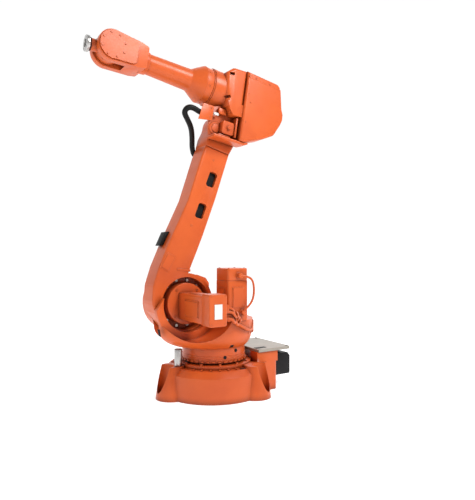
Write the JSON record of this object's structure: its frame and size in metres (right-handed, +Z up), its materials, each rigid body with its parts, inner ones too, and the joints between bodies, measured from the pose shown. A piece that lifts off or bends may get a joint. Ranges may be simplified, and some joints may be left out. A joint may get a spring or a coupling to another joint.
{
  "type": "industrial robot arm",
  "caption": "Floor-standing jointed robot arm on a round cast foot, with a leaning column, an elbow housing, a slim forearm and a wrist with a round tool flange.",
  "frame": {"origin": "middle of the base's underside, on the turning axis (axis 1)", "axes": "+X robot forward, +Y robot left, +Z up along the turning axis"},
  "size_m": [0.9359, 0.5421, 1.4818],
  "materials": {
    "orange_paint": "semi-gloss orange paint on castings",
    "grey_paint": "satin grey paint",
    "black_plastic": "matte black",
    "black_rubber": "satin black rubber",
    "zinc_steel": "plated screw heads",
    "bare_steel": "machined bare steel",
    "plate_silver": "blank pale label plate"
  },
  "bodies": {
    "base": {"base_casting": "orange_paint", "turning_bearing": "orange_paint", "anchor_bolt_1": "zinc_steel", "anchor_bolt_2": "zinc_steel", "anchor_bolt_3": "zinc_steel", "stop_post": "bare_steel", "connection_lid": "grey_paint", "connector_panel": "black_plastic"},
    "turret": {"turret_casting": "orange_paint", "shoulder_hub": "bare_steel", "shoulder_gear_cover": "orange_paint", "shoulder_motor_flange": "orange_paint", "shoulder_motor": "orange_paint", "shoulder_motor_cap": "orange_paint", "rating_plate": "plate_silver", "turning_motor": "orange_paint", "turning_motor_cap": "orange_paint", "lifting_lug": "orange_paint"},
    "column": {"lower_arm": "orange_paint", "elbow_head": "orange_paint", "elbow_cap": "orange_paint", "arm_cable_stud": "orange_paint", "shoulder_screws": "zinc_steel", "arm_buffer": "black_rubber", "arm_hose_gland": "black_plastic"},
    "elbow": {"elbow_housing": "orange_paint", "rear_cover": "orange_paint", "elbow_hub": "bare_steel", "elbow_motor": "orange_paint", "bottom_plate": "orange_paint", "hose_bracket": "orange_paint", "hose_gland": "black_plastic", "turning_collar": "orange_paint", "elbow_hose": "black_rubber"},
    "forearm": {"forearm_tube": "orange_paint", "wrist_fork": "orange_paint", "wrist_cover_left": "orange_paint", "wrist_cover_right": "orange_paint"},
    "wrist": {"wrist_tilt_unit": "orange_paint"},
    "tool": {"tool_flange": "bare_steel"}
  },
  "joints": [
    {"name": "turning_axis", "type": "hinge", "parent": "base", "child": "turret", "pos_m": [0, 0, 0.2], "axis": [0, 0, 1], "range_deg": [-180, 180]},
    {"name": "shoulder_axis", "type": "hinge", "parent": "turret", "child": "column", "pos_m": [0.15, 0, 0.4], "axis": [0, 1, 0], "range_deg": [-48, 115]},
    {"name": "elbow_axis", "type": "hinge", "parent": "column", "child": "elbow", "pos_m": [-0.05436, 0, 1.17346], "axis": [0, -1, 0], "range_deg": [-60, 95], "deforming": ["elbow_hose"]},
    {"name": "forearm_axis", "type": "hinge", "parent": "elbow", "child": "forearm", "pos_m": [0.03932, 0, 1.35231], "axis": [0.9877, 0, 0.1564], "range_deg": [-200, 200]},
    {"name": "wrist_axis", "type": "hinge", "parent": "forearm", "child": "wrist", "pos_m": [0.47835, 0, 1.42185], "axis": [0, -1, 0], "range_deg": [-109, 121]},
    {"name": "flange_axis", "type": "hinge", "parent": "wrist", "child": "tool", "pos_m": [0.57222, 0, 1.42677], "axis": [0.9986, 0, 0.0523], "range_deg": [-400, 400]}
  ]
}
